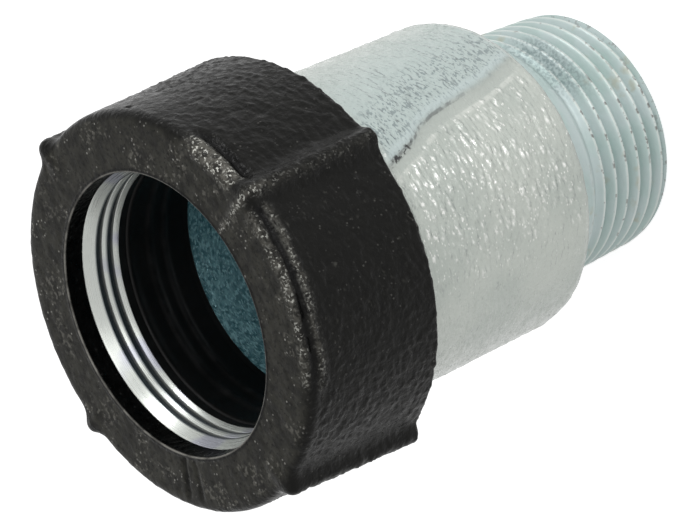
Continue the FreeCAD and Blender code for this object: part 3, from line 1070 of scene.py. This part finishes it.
def wear_colour(tree, place, colour):
    """Painted highlights on ripples, crest and mouth edge, grey wear with painted glints, and painted shade
    in notches and bore.
    """
    # Painted highlight on lit ripples of the side
    broken = patches(tree, millimetres(tree, 1.8), 0.5, (0.44, 0.56), detail=2.0)
    colour = tint(tree, colour, 0.9, "lit", LIT_BLACK, broken)
    soft = patches(tree, place, 0.8, (0.4, 0.58), detail=4.0, least=0.2)
    colour = tint(tree, colour, 0.9, "wear_and_highlight", WORN_GREY, soft)
    # Painted glints on the grains of the worn ledges and the rib's crest
    bright = patches(tree, place, 0.32, (0.53, 0.61))
    clustered = patches(tree, place, 1.1, (0.42, 0.58), detail=1.0, least=0.15)
    colour = tint(tree, colour, 1.0, "wear_and_highlight", WORN_GLINT, bright, clustered)
    # Painted shade in the notches, folds and pit
    colour = tint(tree, colour, 0.9, "notch", NOTCH_SHADE)
    # Painted shade in the bore
    colour = tint(tree, colour, 0.95, "bore", BORE_SHADE)
    # Painted highlight along the mouth's edge
    rim = patches(tree, place, 2.5, (0.36, 0.56), least=0.35)
    return tint(tree, colour, 0.8, "mouth_edge", MOUTH_EDGE_HIGHLIGHT, rim)


def black_cast_material():
    """Black coated rough casting with bare specks, worn along its front edges."""
    material, tree, shader = new_material("black_cast_iron", Metallic=0.0, Specular_IOR_Level=0.1)
    place = millimetres(tree)
    face = mask(tree, "face")
    speck = product(tree, specks(tree, place, 0.7, 0.26), patches(tree, place, 2.0, (0.52, 0.62)))
    shown = product(tree, speck, ramp(tree, face, 0.0, 1.0, 0.22, 0.9))
    colour = mix_colours(tree, shown, plain_black_colour(tree, place), BARE_SPECK)
    tree.links.new(wear_colour(tree, place, colour), shader.inputs["Base Color"])
    gloss = patches(tree, place, 1.0, (0.3, 0.7), least=0.24, most=0.42)
    tree.links.new(gloss, shader.inputs["Roughness"])
    grain = calculate(tree, "ADD", noise(tree, place, 0.7, 2.0), product(tree, speck, 0.5))
    coarse = calculate(tree, "SUBTRACT", 1.0, product(tree, face, 0.6))
    coarse = calculate(tree, "ADD", coarse, product(tree, mask(tree, "wear_and_highlight"), 1.4))
    set_bump(tree, shader, product(tree, grain, coarse), 0.16)
    return material


# Materials of the rings

RING_ZINC = ((0.54, 0.57, 0.54), (0.65, 0.67, 0.63))
RING_VIOLET = (0.36, 0.36, 0.48)
# Painted shade in the ring's grooves
RING_GROOVE_SHADE = (0.03, 0.045, 0.06)
TURNING_MARKS = 50
DARK_STEEL = ((0.004, 0.004, 0.004), (0.012, 0.012, 0.012))
RUBBER = ((0.0015, 0.0015, 0.0015), (0.004, 0.004, 0.004))
# Painted sheen on the seal's ridges
RUBBER_RIDGE_SHEEN = (0.016, 0.016, 0.0165)


def zinc_ring_material():
    """Bright turned zinc with violet patches and painted shade in the grooves."""
    material, tree, shader = new_material("bright_zinc", Metallic=0.6)
    place = millimetres(tree)
    colour = mix_colours(tree, noise(tree, place, 2.5), *RING_ZINC)
    violet = patches(tree, place, 6.0, (0.56, 0.68), detail=1.0, most=0.6)
    colour = mix_colours(tree, violet, colour, RING_VIOLET)
    colour = tint(tree, colour, 0.9, "groove", RING_GROOVE_SHADE)
    tree.links.new(colour, shader.inputs["Base Color"])
    lines = millimetres(tree, TURNING_MARKS)
    gloss = patches(tree, lines, 6.0, (0.3, 0.7), detail=2.0, least=0.25, most=0.33)
    tree.links.new(gloss, shader.inputs["Roughness"])
    return material


def dark_ring_material():
    material, tree, shader = new_material("dark_steel", Metallic=0.2, Specular_IOR_Level=0.2)
    cloud = noise(tree, millimetres(tree), 1.5)
    tree.links.new(mix_colours(tree, cloud, *DARK_STEEL), shader.inputs["Base Color"])
    tree.links.new(ramp(tree, cloud, 0.3, 0.7, 0.4, 0.55), shader.inputs["Roughness"])
    return material


def rubber_material():
    """Black rubber, with a painted sheen on its ridges."""
    material, tree, shader = new_material("black_rubber_compound", Metallic=0.0, Specular_IOR_Level=0.2)
    place = millimetres(tree)
    colour = mix_colours(tree, noise(tree, place, 3.0), *RUBBER)
    # Painted sheen on the ridges
    sheen_patches = patches(tree, place, 4.0, (0.35, 0.6))
    colour = tint(tree, colour, 0.8, "ridge", RUBBER_RIDGE_SHEEN, sheen_patches)
    tree.links.new(colour, shader.inputs["Base Color"])
    gloss = patches(tree, place, 2.0, (0.3, 0.7), least=0.42, most=0.55)
    tree.links.new(gloss, shader.inputs["Roughness"])
    set_bump(tree, shader, noise(tree, place, 0.4, 2.0), 0.02)
    return material


# Stage, lights and camera, in metres

WHITE = (1, 1, 1, 1)
FLOOR_GREY = (0.6, 0.6, 0.6, 1)
WORLD_LIGHT = 0.52
FLOOR_GLOW = 0.75
FLOOR_HALF_WIDTH = 3.0

# Place, size and power in watts of each round soft lamp, and the point that all are aimed at
LAMPS = {
    "key": ((0.62, -0.25, 0.28), 0.22, 1.4),
    "low_front": ((0.2, -0.7, 0.13), 0.2, 0.9),
    "high_front": ((0.12, -0.5, 0.5), 0.35, 0.6),
    "top": ((0.1, 0.05, 0.8), 0.5, 0.65),
}
LAMP_AIM = Vector((0, 0, 0.04))

CAMERA_PLACE = (0, -0.28616, 0.27033)
CAMERA_RIGHT = Vector((-0.40833, -0.56927, -0.71358))
CAMERA_UP = Vector((0.91279, -0.2467, -0.32551))
LENS_MM = 152.09
SENSOR_WIDTH_MM = 36.0
CLIP_START = 0.01


def background_rays(tree):
    """1 for the rays that see the background itself, directly, in gloss or through."""
    rays = add_node(tree, "ShaderNodeLightPath").outputs
    seen = calculate(tree, "MAXIMUM", rays["Is Camera Ray"], rays["Is Glossy Ray"])
    return calculate(tree, "MAXIMUM", seen, rays["Is Transmission Ray"])


def floor_material():
    """White floor that keeps a soft shadow."""
    material = bpy.data.materials.new("studio_floor")
    material.use_nodes = True
    tree = material.node_tree
    tree.nodes.remove(tree.nodes["Principled BSDF"])
    strength = calculate(tree, "MULTIPLY", background_rays(tree), FLOOR_GLOW)
    glow = add_node(tree, "ShaderNodeEmission", {"Color": WHITE, "Strength": strength})
    matt = add_node(tree, "ShaderNodeBsdfDiffuse", {"Color": FLOOR_GREY})
    both = add_node(tree, "ShaderNodeAddShader", {0: glow.outputs[0], 1: matt.outputs[0]})
    tree.links.new(both.outputs[0], tree.nodes["Material Output"].inputs["Surface"])
    return material


def make_floor():
    half = FLOOR_HALF_WIDTH
    mesh = bpy.data.meshes.new("floor")
    corners = [(-half, -half, 0), (half, -half, 0), (half, half, 0), (-half, half, 0)]
    mesh.from_pydata(corners, [], [(0, 1, 2, 3)])
    floor = add_object("floor", mesh)
    floor.data.materials.append(floor_material())


def make_world():
    """White surroundings that light the part less than they show."""
    world = bpy.data.worlds.new("studio")
    bpy.context.scene.world = world
    world.use_nodes = True
    tree = world.node_tree
    background = tree.nodes["Background"]
    background.inputs["Color"].default_value = WHITE
    strength = ramp(tree, background_rays(tree), 0.0, 1.0, WORLD_LIGHT, 1.0)
    tree.links.new(strength, background.inputs["Strength"])


def make_lamps():
    for name, (place, size, power) in LAMPS.items():
        light = bpy.data.lights.new(name, "AREA")
        light.shape = "DISK"
        light.size = size
        light.energy = power
        lamp = add_object(name, light)
        lamp.location = place
        lamp.rotation_euler = (LAMP_AIM - Vector(place)).to_track_quat("-Z", "Y").to_euler()


def make_camera():
    """Camera turned so that the part's axis runs up to the right, as photographed."""
    camera_data = bpy.data.cameras.new("camera")
    camera_data.sensor_fit = "HORIZONTAL"
    camera_data.sensor_width = SENSOR_WIDTH_MM
    camera_data.lens = LENS_MM
    camera_data.clip_start = CLIP_START
    camera = add_object("camera", camera_data)
    backward = CAMERA_RIGHT.cross(CAMERA_UP)
    turn = Matrix((CAMERA_RIGHT, CAMERA_UP, backward)).transposed().to_4x4()
    camera.matrix_world = Matrix.Translation(CAMERA_PLACE) @ turn
    bpy.context.scene.camera = camera


# The part

def give_material(piece, material):
    piece.data.materials.clear()
    piece.data.materials.append(material)


def dress(piece, material, body, node):
    """Gives a made piece its material and its body, and hides the CAD node that it stands for."""
    give_material(piece, material)
    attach(piece, body)
    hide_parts(node)


make_camera()
make_floor()
make_world()
make_lamps()

dress(make_body(), galvanised_material(), "fitting_body", "body")
dress(make_nut(), black_cast_material(), "nut", "union_nut")
dress(make_seal(), rubber_material(), "fitting_body", "sealing_ring")
dress(make_clamping_ring(), zinc_ring_material(), "clamp", "clamping_ring")
give_material(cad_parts["pressure_ring"], dark_ring_material())

bpy.context.scene.view_settings.view_transform = "Standard"
